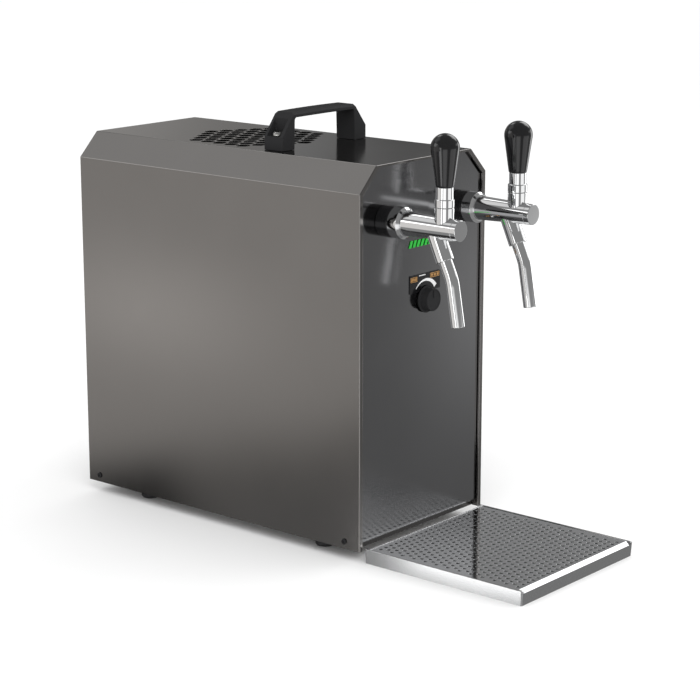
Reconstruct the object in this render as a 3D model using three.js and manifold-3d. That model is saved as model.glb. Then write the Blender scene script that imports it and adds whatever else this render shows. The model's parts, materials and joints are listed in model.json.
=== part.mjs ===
// Countertop dry-contact beer cooler with two taps, a carrying handle and a loose drip tray.
// Millimetres, +Z up, front towards -Y. Inside this file y = 0 is the casing's front edge and
// z = 0 the counter; the outer group then centres the whole object on the origin.
import * as THREE from 'three';
import { mergeVertices } from 'three/addons/utils/BufferGeometryUtils.js';
import Module from 'manifold-3d';

const wasm = await Module();
wasm.setup();

// ---------------------------------------------------------------- driving dimensions
const GAP = 0.3; // clearance kept between pieces that touch
const CASE = { width: 200, length: 385, bottom: 12, top: 393, chamfer: 25, sheet: 1.2 };
const HEM = { width: 5, top: 2.5, depth: 8 };
const PAN = { front: 8.5, rear: 378, floor: 12.2, sheet: 1.2, lip: 17.4, flange: 27 };
const FOOT = { x: 75, front: 66, rear: 316, radius: 10, hole: 3.4 };
const PANEL = { front: 3, sheet: 1.2, bottom: 18.6, edge: 93.8, slot: 1.2, shoulder: 77.5, flange: 12 };
const REAR = { front: 379, sheet: 1.2, bottom: 13 };
const VENT = { y: 222.5, rings: 4, pitch: 16.4, hole: 14 };
const GRILLE = { x: 44, z: 190, rows: 7, pitch: 10, length: 72, height: 4 };
const HANDLE = { y: 141.2, depth: 24.5, foot: 65, leg: 47, block: 14, top: 37, bar: 4.6, crown: 0.6,
  wall: 4.5, screw: 57.5 };
const HANDLE_BOLT = { shaft: 3, hole: 3.4, head: 5.4, length: 14, nut: 10, nutHeight: 5 };
const SIDE_SCREW = { front: 19.6, rear: 368.9, z: 19.4, shaft: 1.4, head: 3, length: 6, height: 1.4 };
const TAP = { x: 58.7, z: 337.7, outer: 15.5, collarEnd: -11.2, ringEnd: -24.7, nose: -89, bore: 8.4 };
const SHANK = { bore: 3.5, radius: 8, head: 12, rear: 45, hole: 8.6 };
const BODY = { root: 12, tip: 10.1, bore: 6, rear: -14 };
const LEVER = { y: -69.2, pivot: 12.3, dome: 12.4, bonnet: 9.45, ball: 5.7,
  ferruleTop: 28.6, stemTop: 40.1 };
const LEVER_SLOT = { half: 3.2, front: 8.1, rear: 6.5 };
const KNOB = { bottom: 9.05, widest: 14, widestAt: 76.6, top: 90.7 };
const PLUNGER = { front: -78, pistonFront: -27, pistonBack: -22, collar: 3.5,
  waist: 1.2, stem: 2.2, reach: 4 };
const SPOUT = { root: -57.2, lean: 24, sleeve: 9, sleeveLength: 33.9, tube: 6.6, bore: 5.2 };
const SPOUT_BEND = new THREE.Vector3(0, -79.3, 289.7);
const SPOUT_TIP = new THREE.Vector3(0, -87.1, 245.1);
const DIAL = { x: 6, z: 250, radius: 12.2, depth: 11, shaft: 3, hole: 4.5 };
const DIAL_PLATE = { left: -20, right: 28.5, bottom: 258, top: 276.3, sheet: 0.6, disc: 13 };
const BADGE = { left: -22, right: 24, bottom: 304.5, top: 311.5, slant: 3 };
const TRAY = { gap: 2, width: 189.4, length: 190, height: 15, wall: 1.5, ledge: 2, floor: 1.2,
  gridDrop: 2.2 };
const LIP = { width: 6, drop: 2.6, corner: 3 }; // the tray's slanted front and rear rims
const GRID = { sheet: 1.2, rows: 12, columns: 2, slot: 5, border: 6, web: 4 };
const DRUM = { y: 110, radius: 38.5, bottom: 60, top: 290 };
const COIL = { tube: 4, bottom: 78, top: 276, inner: 47.5, outer: 57.6 };
const JACKET = { half: 70, bore: 66, bottom: 13.8, floor: 40, top: 300, notch: 8, notchTop: 94 };
const COMPRESSOR = { y: 256, radius: 54, top: 158 };
const CONDENSER = { y: 222.5, halfX: 65, halfY: 62, bottom: 304, top: 358, rim: 5, pitch: 10, fin: 3 };
const FAN = { half: 60, bottom: 366, top: 391.4, bore: 57, hub: 20, pin: 2,
  blades: 7, chord: 19, bladePitch: 40 };
const INLET = { left: 50, right: 84, z: 55, reach: 20, bore: 4.2, hole: 6.4, depth: 10 };
const SOCKET = { x: -55, z: 52, halfX: 13.7, halfZ: 10.2, flange: 2.3 };
const ROCKER = { x: -55, z: 86, halfX: 9.7, halfZ: 7.2, flange: 2.3, rest: 9, width: 15.6 };
const FRONT_Y = (TRAY.gap + TRAY.length - CASE.length - INLET.reach) / 2;

// ---------------------------------------------------------------- materials
const material = (color, roughness, metalness) =>
  new THREE.MeshStandardMaterial({ color, roughness, metalness });
const darkSteel = material(0x77736f, 0.38, 0.85);
const darkPanel = material(0x55555a, 0.2, 0.8);
const zincSteel = material(0x8f9194, 0.45, 0.9);
const chrome = material(0xe9e9ea, 0.08, 1);
const stainless = material(0xc4c6c8, 0.2, 1);
const aluminium = material(0xb4b6b8, 0.45, 1);
const enamelBlack = material(0x1b1b1c, 0.5, 0.3);
const glossBlack = material(0x0b0b0c, 0.15, 0);
const mattBlack = material(0x222223, 0.55, 0);
const rubber = material(0x18181a, 0.85, 0);
const foam = material(0xd9d4c8, 0.9, 0);
const green = material(0x18a832, 0.5, 0);

// ---------------------------------------------------------------- solids
/** A closed three.js geometry as a solid that can be joined and cut. */
function solid(geometry) {
  const bare = geometry.clone();
  bare.deleteAttribute('normal');
  bare.deleteAttribute('uv');
  const merged = mergeVertices(bare, 1e-4);
  const vertProperties = new Float32Array(merged.attributes.position.array);
  const triVerts = new Uint32Array(merged.index.array);
  return new wasm.Manifold(new wasm.Mesh({ numProp: 3, vertProperties, triVerts }));
}

/** Adds one named sub-part to a group. */
function add(group, name, body, look) {
  const mesh = body.getMesh();
  const geometry = new THREE.BufferGeometry();
  geometry.setAttribute('position', new THREE.BufferAttribute(mesh.vertProperties, 3));
  geometry.setIndex(new THREE.BufferAttribute(mesh.triVerts, 1));
  geometry.computeVertexNormals();
  const part = new THREE.Mesh(geometry, look);
  part.name = name;
  group.add(part);
}

/** Turns a geometry built along Y to lie along the given axis, centred at a, b on the other two. */
function along(axis, geometry, [a, b] = [0, 0]) {
  if (axis === 'x') return geometry.rotateZ(-Math.PI / 2).translate(0, a, b);
  if (axis === 'z') return geometry.rotateX(Math.PI / 2).translate(a, b, 0);
  return geometry.translate(a, 0, b);
}

const box = (x0, x1, y0, y1, z0, z1) =>
  solid(new THREE.BoxGeometry(x1 - x0, y1 - y0, z1 - z0)
    .translate((x0 + x1) / 2, (y0 + y1) / 2, (z0 + z1) / 2));

const vectors = points => points.map(([a, b]) => new THREE.Vector2(a, b));

/** A round rod from one place to another along an axis. */
const rod = (axis, radius, from, to, centre, sides = 16) =>
  solid(along(axis, new THREE.CylinderGeometry(radius, radius, to - from, sides)
    .translate(0, (from + to) / 2, 0), centre));

/** A turned piece: profile points are [radius, place along the axis], anticlockwise. */
const turned = (axis, profile, centre, sides = 20) =>
  solid(along(axis, new THREE.LatheGeometry(vectors(profile), sides), centre));

/** An outline in the XZ plane pulled from y0 to y1. */
const plate = (outline, y0, y1) =>
  solid(new THREE.ExtrudeGeometry(new THREE.Shape(vectors(outline)), { depth: y1 - y0, bevelEnabled: false })
    .rotateX(Math.PI / 2).translate(0, y1, 0));

/** A hexagonal prism standing on Z, with its corners towards X. */
const hexagon = (flats, x, y, z0, z1) =>
  solid(along('z', new THREE.CylinderGeometry(flats / Math.sqrt(3), flats / Math.sqrt(3), z1 - z0, 6)
    .rotateY(Math.PI / 6).translate(0, (z0 + z1) / 2, 0), [x, y]));

const join = (...bodies) => bodies.reduce((a, b) => a.add(b));
const cut = (body, ...tools) => tools.reduce((a, b) => a.subtract(b), body);
const mirrorX = outline => [...outline, ...outline.map(([x, z]) => [-x, z]).reverse()];

/** Points of a circular arc, angles in degrees. */
function arc(radius, centre, from, to, steps) {
  const points = [];
  for (let i = 0; i <= steps; i += 1) {
    const angle = THREE.MathUtils.degToRad(from + (to - from) * i / steps);
    points.push([radius * Math.cos(angle), centre + radius * Math.sin(angle)]);
  }
  return points;
}

/** The casing's section, moved in by an inset, standing on a given floor height. */
function caseOutline(inset, floor, topInset = inset) {
  const side = CASE.width / 2 - inset;
  const top = CASE.top - topInset;
  const slope = CASE.width / 2 + CASE.top - CASE.chamfer - inset * Math.SQRT2;
  return mirrorX([[side, floor], [side, slope - side], [slope - top, top]]);
}

// ---------------------------------------------------------------- housing
function housing(group) {
  const { width, length, bottom, top, sheet } = CASE;
  const wall = width / 2 - sheet - GAP;

  let casing = plate(caseOutline(0, bottom), 0, length)
    .subtract(plate(caseOutline(sheet, bottom - 1), HEM.depth, length + 1))
    .subtract(plate(caseOutline(HEM.width, bottom - 1, HEM.top), -1, HEM.depth + 1));
  for (let column = -VENT.rings; column <= VENT.rings; column += 1) {
    const holes = 2 * VENT.rings + 1 - Math.abs(column);
    for (let i = 0; i < holes; i += 1) {
      const x = column * VENT.pitch * Math.sqrt(3) / 2;
      const y = VENT.y + (i - (holes - 1) / 2) * VENT.pitch;
      casing = casing.subtract(hexagon(VENT.hole, x, y, top - 5, top + 5));
    }
  }
  for (const x of [-HANDLE.screw, HANDLE.screw]) {
    casing = casing.subtract(rod('z', HANDLE_BOLT.hole, top - 5, top + 5, [x, HANDLE.y], 12));
  }
  for (const y of [SIDE_SCREW.front, SIDE_SCREW.rear]) {
    casing = casing.subtract(rod('x', 2, -width, width, [y, SIDE_SCREW.z], 12));
  }
  add(group, 'outer_casing', casing, darkSteel);

  let pan = box(-wall, wall, PAN.front, PAN.rear, PAN.floor, PAN.flange)
    .subtract(box(-wall + PAN.sheet, wall - PAN.sheet, PAN.front + PAN.sheet, PAN.rear - PAN.sheet,
      PAN.floor + PAN.sheet, PAN.flange + 1))
    .subtract(box(-wall + PAN.sheet, wall - PAN.sheet, 0, PAN.front + 2, PAN.lip, PAN.flange + 1));
  for (const y of [SIDE_SCREW.front, SIDE_SCREW.rear]) {
    pan = pan.subtract(rod('x', 1.8, -width, width, [y, SIDE_SCREW.z], 12));
  }
  for (const x of [-FOOT.x, FOOT.x]) {
    for (const y of [FOOT.front, FOOT.rear]) {
      pan = pan.subtract(rod('z', FOOT.hole, 0, 20, [x, y], 12));
    }
  }
  add(group, 'base_pan', pan, darkSteel);

  for (const [side, x] of [['left', -1], ['right', 1]]) {
    for (const end of ['front', 'rear']) {
      add(group, `foot_${end}_${side}`, foot([x * FOOT.x, FOOT[end]]), rubber);
      const screw = sideScrew([SIDE_SCREW[end], SIDE_SCREW.z]);
      add(group, `casing_screw_${end}_${side}`, x > 0 ? screw : screw.mirror([1, 0, 0]), mattBlack);
    }
  }
}

/** A rubber foot whose barbed stud grips the base pan's hole. */
function foot(centre) {
  const { radius, hole } = FOOT;
  const shoulder = PAN.floor - GAP;
  return turned('z', [[0, 0], [radius - 1, 0], [radius, 1], [radius - 1, shoulder], [hole - GAP, shoulder],
    [hole - GAP, 14], [4.4, 14.6], [3, 18], [0, 18]], centre, 12);
}

/** A pan-head screw in the casing's right side. */
function sideScrew(centre) {
  const { shaft, head, length, height } = SIDE_SCREW;
  const face = CASE.width / 2 + GAP;
  return turned('x', [[0, face - length], [shaft, face - length], [shaft, face], [head, face],
    [head, face + 0.8], [2, face + height], [0, face + height]], centre, 12);
}

// ---------------------------------------------------------------- front and rear panels
function frontPanel(group) {
  const { front, sheet, bottom, edge, slot, shoulder, flange } = PANEL;
  const hemSlope = CASE.width / 2 + CASE.top - CASE.chamfer - HEM.width * Math.SQRT2;
  const slotSlope = hemSlope - slot * Math.SQRT2;
  const tightSlope = hemSlope - GAP * Math.SQRT2;
  const step = (tightSlope - slotSlope) / 2;
  const ceiling = CASE.top - HEM.top - GAP;
  const outline = mirrorX([[edge, bottom], [edge, slotSlope - edge], [shoulder, slotSlope - shoulder],
    [shoulder + step, slotSlope - shoulder + step], [tightSlope - ceiling, ceiling]]);
  const back = front + sheet;
  const flangeTop = slotSlope - edge - 4;
  let panel = join(plate(outline, front, back),
    box(-edge, edge, front, back + flange, bottom, bottom + sheet),
    box(-edge, -edge + sheet, front, back + flange, bottom, flangeTop),
    box(edge - sheet, edge, front, back + flange, bottom, flangeTop));
  for (const x of [-TAP.x, TAP.x]) panel = panel.subtract(rod('y', SHANK.hole, 0, 10, [x, TAP.z]));
  panel = panel.subtract(rod('y', DIAL.hole, 0, 10, [DIAL.x, DIAL.z]));
  add(group, 'front_panel', panel, darkPanel);

  const { left, right, slant } = BADGE;
  add(group, 'badge', plate([[left, BADGE.bottom], [right - slant, BADGE.bottom],
    [right, BADGE.top], [left + slant, BADGE.top]], front - GAP - 0.5, front - GAP), green);
}

function rearPanel(group) {
  const back = REAR.front + REAR.sheet;
  const hull = plate(caseOutline(CASE.sheet + GAP, REAR.bottom), REAR.front, back);
  const tools = [];
  for (let row = 0; row < GRILLE.rows; row += 1) {
    for (const x of [-GRILLE.x, GRILLE.x]) {
      const z = GRILLE.z + row * GRILLE.pitch;
      const reach = GRILLE.length / 2;
      tools.push(box(x - reach, x + reach, REAR.front - 1, back + 1, z, z + GRILLE.height));
    }
  }
  for (const x of [INLET.left, INLET.right]) {
    tools.push(rod('y', INLET.hole, REAR.front - 1, back + 1, [x, INLET.z]));
  }
  for (const { x, z, halfX, halfZ } of [SOCKET, ROCKER]) {
    tools.push(box(x - halfX - GAP, x + halfX + GAP, REAR.front - 1, back + 1,
      z - halfZ - GAP, z + halfZ + GAP));
  }
  add(group, 'rear_panel', cut(hull, ...tools), darkSteel);
}

// ---------------------------------------------------------------- carrying handle
function carryHandle(group) {
  const { y, depth, foot, leg, block, top, bar, crown, wall, screw } = HANDLE;
  const base = CASE.top + GAP;
  const outline = mirrorX([[leg, base], [foot, base], [foot, base + block], [leg, base + top],
    [0, base + top + crown]]).filter(([x], i, all) => i === 0 || x !== 0 || all[i - 1][0] !== 0);
  const opening = mirrorX([[leg, base - 1], [leg - 1, base + top - bar - 4], [leg - 5, base + top - bar]]);
  let handle = plate(outline, y - depth / 2, y + depth / 2)
    .subtract(plate(opening, y - depth, y + depth));
  const pocket = [[leg + 3.5, base + block], [foot + 5, base + block], [foot + 5, base + top],
    [leg + 3.5, base + top - 8]];
  const pocketHalf = depth / 2 - wall;
  for (const side of [-1, 1]) {
    const sideways = pocket.map(([x, z]) => [side * x, z]);
    const ordered = side > 0 ? sideways : sideways.reverse();
    handle = handle.subtract(plate(ordered, y - pocketHalf, y + pocketHalf))
      .subtract(rod('z', HANDLE_BOLT.hole, CASE.top - 1, base + block + 1, [side * screw, y], 12));
  }
  add(group, 'carry_handle', handle, mattBlack);

  const { shaft, head, length, nut, nutHeight } = HANDLE_BOLT;
  const seat = base + block + GAP;
  const under = CASE.top - CASE.sheet - GAP;
  for (const [side, x] of [['left', -screw], ['right', screw]]) {
    add(group, `handle_screw_${side}`, turned('z', [[0, CASE.top - length], [shaft, CASE.top - length],
      [shaft, seat], [head, seat], [head, seat + 2], [4, seat + 3.6], [0, seat + 3.6]],
    [x, y], 14), zincSteel);
    add(group, `handle_nut_${side}`, hexagon(nut, x, y, under - nutHeight, under)
      .subtract(rod('z', shaft + GAP, under - nutHeight - 1, under + 1, [x, y], 14)), zincSteel);
  }
}

// ---------------------------------------------------------------- taps
const bodyProfile = extra => [[0, TAP.nose - extra], [BODY.tip + extra, TAP.nose - extra],
  [BODY.root + extra, TAP.ringEnd], [BODY.root + extra, BODY.rear], [0, BODY.rear]];

/** A rod along the spout's upper axis, between two distances from the tap's centre line. */
function spoutRod(radius, from, to, sides) {
  const rodGeometry = new THREE.CylinderGeometry(radius, radius, to - from, sides)
    .translate(0, -(from + to) / 2, 0)
    .rotateX(Math.PI / 2 - THREE.MathUtils.degToRad(SPOUT.lean))
    .translate(0, SPOUT.root, TAP.z);
  return solid(rodGeometry);
}

/** A place on the spout's upper axis. */
function spoutPoint(distance) {
  const lean = THREE.MathUtils.degToRad(SPOUT.lean);
  return new THREE.Vector3(0, SPOUT.root - distance * Math.sin(lean), TAP.z - distance * Math.cos(lean));
}

function spoutTube() {
  const start = spoutPoint(18.5);
  const bendLeg = 8;
  const before = SPOUT_BEND.clone().add(start.clone().sub(SPOUT_BEND).setLength(bendLeg));
  const after = SPOUT_BEND.clone().add(SPOUT_TIP.clone().sub(SPOUT_BEND).setLength(bendLeg));
  const path = new THREE.CurvePath();
  path.add(new THREE.LineCurve3(start, before));
  path.add(new THREE.QuadraticBezierCurve3(before, SPOUT_BEND, after));
  path.add(new THREE.LineCurve3(after, SPOUT_TIP));
  const ring = new THREE.Shape();
  ring.absarc(0, 0, SPOUT.tube, 0, 2 * Math.PI);
  const bore = new THREE.Path();
  bore.absarc(0, 0, SPOUT.bore, 0, 2 * Math.PI);
  ring.holes.push(bore);
  return solid(new THREE.ExtrudeGeometry(ring, { steps: 9, curveSegments: 5, extrudePath: path }));
}

function tap(group, side) {
  const axis = [0, TAP.z];
  const { collarEnd, ringEnd, outer, bore } = TAP;
  const headFront = collarEnd - 2.4;
  const headBack = collarEnd - 0.6;
  add(group, `tap_shank_${side}`, turned('y', [[SHANK.bore, headFront], [SHANK.head, headFront],
    [SHANK.head, headBack], [SHANK.radius, headBack], [SHANK.radius, SHANK.rear], [SHANK.bore, SHANK.rear],
    [SHANK.bore, headFront]], axis, 16), stainless);
  const nutFront = PANEL.front + PANEL.sheet + GAP;
  add(group, `shank_nut_${side}`, rod('y', 13, nutFront, nutFront + 6, axis, 6)
    .subtract(rod('y', SHANK.radius + GAP, 0, 20, axis)), zincSteel);
  const collarBack = PANEL.front - GAP;
  add(group, `tap_collar_${side}`, turned('y', [[bore, collarEnd], [outer - 0.8, collarEnd],
    [outer, collarEnd + 0.8], [outer, collarBack], [bore, collarBack], [bore, collarEnd]],
  axis, 24), glossBlack);
  add(group, `tap_ring_${side}`, turned('y', [[BODY.root + GAP, ringEnd], [outer - 2.2, ringEnd],
    [outer, ringEnd + 2.2], [outer, collarEnd - GAP], [13, collarEnd - GAP], [13, ringEnd + 2],
    [BODY.root + GAP, ringEnd + 2], [BODY.root + GAP, ringEnd]], axis, 24), chrome);

  const leverHole = rod('z', 6.6, TAP.z, TAP.z + 20, [0, LEVER.y]);
  const shell = cut(turned('y', bodyProfile(0), axis, 20),
    rod('y', BODY.bore, TAP.nose + 4, 0, axis), leverHole, spoutRod(4.5, 0, 20, 12));
  add(group, `tap_body_${side}`, shell, chrome);

  const neighbour = turned('y', bodyProfile(GAP), axis, 20);
  const pivot = TAP.z + LEVER.pivot;
  const dome = turned('z', [...arc(LEVER.dome, pivot, -90, 90, 10)], [0, LEVER.y], 24);
  const barrel = rod('z', LEVER.bonnet, TAP.z + 2, pivot + 20, [0, LEVER.y], 24);
  const bonnet = cut(barrel.intersect(dome), neighbour,
    rod('z', LEVER.ball + GAP, TAP.z, pivot, [0, LEVER.y]),
    turned('z', arc(LEVER.ball + GAP, pivot, -90, 90, 6), [0, LEVER.y], 16),
    box(-LEVER_SLOT.half, LEVER_SLOT.half, LEVER.y - LEVER_SLOT.front, LEVER.y + LEVER_SLOT.rear,
      pivot, pivot + 20));
  add(group, `tap_bonnet_${side}`, bonnet, chrome);

  add(group, `spout_sleeve_${side}`, cut(spoutRod(SPOUT.sleeve, 2, SPOUT.sleeveLength, 18), neighbour,
    spoutRod(4.5, 0, 20, 12), spoutRod(SPOUT.tube + GAP, 18.2, SPOUT.sleeveLength + 1, 18)), chrome);
  add(group, `spout_tube_${side}`, spoutTube(), chrome);
  tapLever(group, side, pivot);
  add(group, `valve_plunger_${side}`, valvePlunger(axis), stainless);
}

/** The plunger: a piston at the rear, a rod, and a waist that the lever's tail pushes. */
function valvePlunger(axis) {
  const { front, pistonFront, pistonBack, collar, waist, stem, reach } = PLUNGER;
  const piston = BODY.bore - GAP;
  return turned('y', [[0, front], [collar, front], [collar, LEVER.y - reach], [waist, LEVER.y - reach],
    [waist, LEVER.y + reach], [collar, LEVER.y + reach], [collar, LEVER.y + reach + 2],
    [stem, LEVER.y + reach + 2], [stem, pistonFront], [piston, pistonFront], [piston, pistonBack],
    [0, pistonBack]], axis, 12);
}

/** The lever turns on its ball inside the bonnet; its hollow ferrule slides over the bonnet's dome. */
function tapLever(group, side, pivot) {
  const seat = LEVER.dome + GAP;
  const ferrule = 9.55;
  const stem = 8.4;
  const neck = 2.8;
  const stud = 4;
  const rimAngle = THREE.MathUtils.radToDeg(Math.acos(ferrule / seat));
  const neckAngle = THREE.MathUtils.radToDeg(Math.acos(neck / seat));
  const ferruleTop = TAP.z + LEVER.ferruleTop;
  const stemTop = TAP.z + LEVER.stemTop;
  const lever = turned('z', [[0, TAP.z + 1.5], [1.5, TAP.z + 1.5], ...arc(LEVER.ball, pivot, -74, 60, 5),
    ...arc(seat, pivot, neckAngle, rimAngle, 3), [ferrule, ferruleTop - 0.8], [ferrule - 0.8, ferruleTop],
    [stem, ferruleTop], [stem, stemTop], [stud, stemTop], [stud, stemTop + 22], [0, stemTop + 22]],
    [0, LEVER.y], 16);
  add(group, `tap_lever_${side}`, lever, chrome);

  const foot = stemTop + GAP;
  const knobTop = TAP.z + KNOB.top;
  const equator = TAP.z + KNOB.widestAt;
  const knob = turned('z', [[stud + GAP, foot], [KNOB.bottom, foot], [KNOB.widest, equator],
    ...arc(KNOB.widest, knobTop - KNOB.widest, 15, 90, 4), [0, stemTop + 22.5], [stud + GAP, stemTop + 22.5],
    [stud + GAP, foot]], [0, LEVER.y], 20);
  add(group, `tap_knob_${side}`, knob, glossBlack);
}

// ---------------------------------------------------------------- thermostat
function thermostat(group) {
  const centre = [DIAL.x, DIAL.z];
  const plateBack = PANEL.front - GAP;
  const plateFront = plateBack - DIAL_PLATE.sheet;
  const { left, right, bottom, top, disc } = DIAL_PLATE;
  const card = join(box(left, right, plateFront, plateBack, bottom, top),
    rod('y', disc, plateFront, plateBack, centre, 32));
  add(group, 'dial_plate', card.subtract(rod('y', DIAL.hole, 0, 10, centre)), glossBlack);

  const bodyFront = PANEL.front + PANEL.sheet + GAP;
  const housingBox = box(DIAL.x - 18, DIAL.x + 18, bodyFront, 28, DIAL.z - 20, DIAL.z + 20);
  add(group, 'thermostat_body', join(housingBox, rod('y', 4.1, plateFront, bodyFront + 1, centre))
    .subtract(rod('y', DIAL.shaft + GAP, 0, 21, centre)), mattBlack);

  const face = PANEL.front - DIAL.depth;
  const rear = plateFront - GAP;
  const grip = turned('y', [[0, face], [DIAL.radius - 1.4, face], [DIAL.radius - 0.5, face + 0.9],
    [DIAL.radius, rear], [DIAL.shaft, rear], [DIAL.shaft, 19], [0, 19]], centre, 28);
  const pointer = box(DIAL.x - 0.8, DIAL.x + 0.8, face - 0.5, face + 2, DIAL.z + 2, DIAL.z + DIAL.radius - 2);
  add(group, 'thermostat_knob', join(grip, pointer), mattBlack);
}

// ---------------------------------------------------------------- drip tray
/** A block above a tray rim's slanted face, for the front (-1) or the rear (1) rim. */
function lipCutter(end, innerEdge) {
  const { width, height } = TRAY;
  const depth = 3 * LIP.width;
  const slope = Math.atan2(LIP.drop, LIP.width);
  return solid(new THREE.BoxGeometry(width - 2 * LIP.corner, depth, height)
    .translate(0, end * depth / 2, height / 2)
    .rotateX(-end * slope)
    .translate(0, innerEdge, height));
}

function dripTray(group) {
  const { gap, width, length, height, wall, ledge, floor, gridDrop } = TRAY;
  const half = width / 2;
  const rear = -gap - LIP.width;
  const front = -gap - length + LIP.width;
  const ledgeTop = height - gridDrop;
  const side = half - wall;
  const pan = cut(box(-half, half, front - LIP.width, rear + LIP.width, 0, height),
    box(-side + ledge, side - ledge, front + ledge, rear - ledge, floor, height + 1),
    box(-side, side, front, rear, ledgeTop, height + 1),
    lipCutter(-1, front), lipCutter(1, rear));
  add(group, 'drip_pan', pan, stainless);

  const sheetBottom = ledgeTop + GAP;
  const gridHalf = side - GAP;
  let grid = box(-gridHalf, gridHalf, front + GAP, rear - GAP, sheetBottom, sheetBottom + GRID.sheet);
  const rowPitch = (rear - front - 2 * GRID.border) / GRID.rows;
  const columnPitch = 2 * (gridHalf - GRID.border) / GRID.columns;
  const reach = (columnPitch - GRID.web) / 2;
  for (let row = 0; row < GRID.rows; row += 1) {
    const y = front + GRID.border + (row + 0.5) * rowPitch;
    for (let column = 0; column < GRID.columns; column += 1) {
      const x = -gridHalf + GRID.border + (column + 0.5) * columnPitch;
      grid = grid.subtract(box(x - reach, x + reach, y - GRID.slot / 2, y + GRID.slot / 2, 0, height));
    }
  }
  add(group, 'drip_grid', grid, stainless);
}

// ---------------------------------------------------------------- cooling parts inside
/** A beer line: from the rear inlet along the side wall, wound up round the drum, out to a shank. */
function beerLine(entry, radius, startAngle, turn, exit) {
  const points = entry.map(([x, y, z]) => new THREE.Vector3(x, y, z));
  const steps = Math.round(turn / 45);
  for (let i = 0; i <= steps; i += 1) {
    const angle = THREE.MathUtils.degToRad(startAngle + turn * i / steps);
    const z = COIL.bottom + (COIL.top - COIL.bottom) * i / steps;
    points.push(new THREE.Vector3(radius * Math.cos(angle), DRUM.y + radius * Math.sin(angle), z));
  }
  points.push(...exit.map(([x, y, z]) => new THREE.Vector3(x, y, z)));
  const curve = new THREE.CatmullRomCurve3(points, false, 'centripetal');
  const section = new THREE.Shape();
  section.absarc(0, 0, COIL.tube, 0, 2 * Math.PI);
  const settings = { steps: steps * 2 + 20, curveSegments: 3, extrudePath: curve };
  return solid(new THREE.ExtrudeGeometry(section, settings));
}

function coolingParts(group) {
  add(group, 'cooling_drum', join(rod('z', DRUM.radius, DRUM.bottom, DRUM.top, [0, DRUM.y], 28),
    rod('z', 28, JACKET.floor + GAP, DRUM.bottom + 1, [0, DRUM.y], 20)), aluminium);
  const { half, bore, bottom, floor, top: jacketTop, notch, notchTop } = JACKET;
  const jacket = cut(box(-half, half, DRUM.y - half, DRUM.y + half, bottom, jacketTop),
    rod('z', bore, floor, jacketTop + 1, [0, DRUM.y], 28),
    box(notch, half + 1, DRUM.y + notch, DRUM.y + half + 1, floor, notchTop));
  add(group, 'insulation_jacket', jacket, foam);

  const inletEnd = REAR.front - INLET.depth - GAP;
  const shankEnd = SHANK.rear + GAP;
  const rise = jacketTop + 8;
  const leftEntry = [[INLET.left, inletEnd, INLET.z], [54, 352, INLET.z], [68, 326, 53], [69, 290, 50],
    [69, 220, 50], [61, 190, 50], [46, 168, 56]];
  const leftExit = [[-47, 88, rise], [-56, 72, TAP.z - 4], [-TAP.x, 58, TAP.z], [-TAP.x, shankEnd, TAP.z]];
  add(group, 'beer_line_left', beerLine(leftEntry, COIL.inner, 50, 1235, leftExit), stainless);
  const rightEntry = [[INLET.right, inletEnd, INLET.z], [INLET.right, 340, 54], [83, 290, 50], [83, 210, 50],
    [78, 182, 52], [69, 156, 60]];
  const rightExit = [[58, 86, rise], [TAP.x, 72, TAP.z - 4], [TAP.x, 58, TAP.z], [TAP.x, shankEnd, TAP.z]];
  add(group, 'beer_line_right', beerLine(rightEntry, COIL.outer, 20, 1400, rightExit), stainless);

  const { radius, top, y } = COMPRESSOR;
  const shell = turned('z', [[0, 18], [radius * 0.7, 18], [radius, 30], [radius, 84], [radius + 3, 84],
    [radius + 3, 88], [radius, 88], [radius, 124], [radius * 0.8, 145], [radius * 0.4, top - 3], [0, top]],
  [0, y], 20);
  add(group, 'compressor', join(shell, box(-64, 64, y - 48, y + 48, 14, 19)), enamelBlack);
  add(group, 'condenser', condenser(), aluminium);
}

/** A block of thin upright fins inside a rim. */
function condenser() {
  const { y, halfX, halfY, bottom, top: coreTop, rim, pitch, fin } = CONDENSER;
  const core = box(-halfX, halfX, y - halfY, y + halfY, bottom, coreTop);
  const slots = [];
  for (let x = -halfX + rim; x < halfX - rim; x += pitch) {
    slots.push(box(x, x + pitch - fin, y - halfY + rim, y + halfY - rim, bottom - 1, coreTop + 1));
  }
  return cut(core, ...slots);
}

function fan(group) {
  const { half, bottom, top, bore, hub, pin, blades, chord, bladePitch } = FAN;
  const centre = [0, VENT.y];
  const struts = [];
  for (const turn of [0, Math.PI / 2]) {
    struts.push(solid(new THREE.BoxGeometry(2 * bore + 4, 5, 3).rotateZ(turn + Math.PI / 4)
      .translate(0, VENT.y, bottom + 1.5)));
  }
  const surround = cut(box(-half, half, VENT.y - half, VENT.y + half, bottom, top),
    rod('z', bore, bottom - 1, top + 1, centre, 32));
  const frame = join(surround, rod('z', hub, bottom, bottom + 4, centre, 20), ...struts)
    .subtract(rod('z', pin + 0.4, bottom + 1.5, top, centre, 12));
  add(group, 'fan_frame', frame, mattBlack);

  const bladeSpan = bore - hub - 1;
  let rotor = join(rod('z', hub, bottom + 5, top - 3, centre, 20),
    rod('z', pin, bottom + 2.5, bottom + 6, centre, 12));
  for (let i = 0; i < blades; i += 1) {
    const blade = new THREE.BoxGeometry(bladeSpan, chord, 1.6)
      .rotateX(THREE.MathUtils.degToRad(bladePitch))
      .translate(hub - 1.5 + bladeSpan / 2, 0, (bottom + top) / 2 + 1)
      .rotateZ(2 * Math.PI * i / blades)
      .translate(0, VENT.y, 0);
    rotor = rotor.add(solid(blade));
  }
  add(group, 'fan_rotor', rotor, mattBlack);
}

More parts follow.
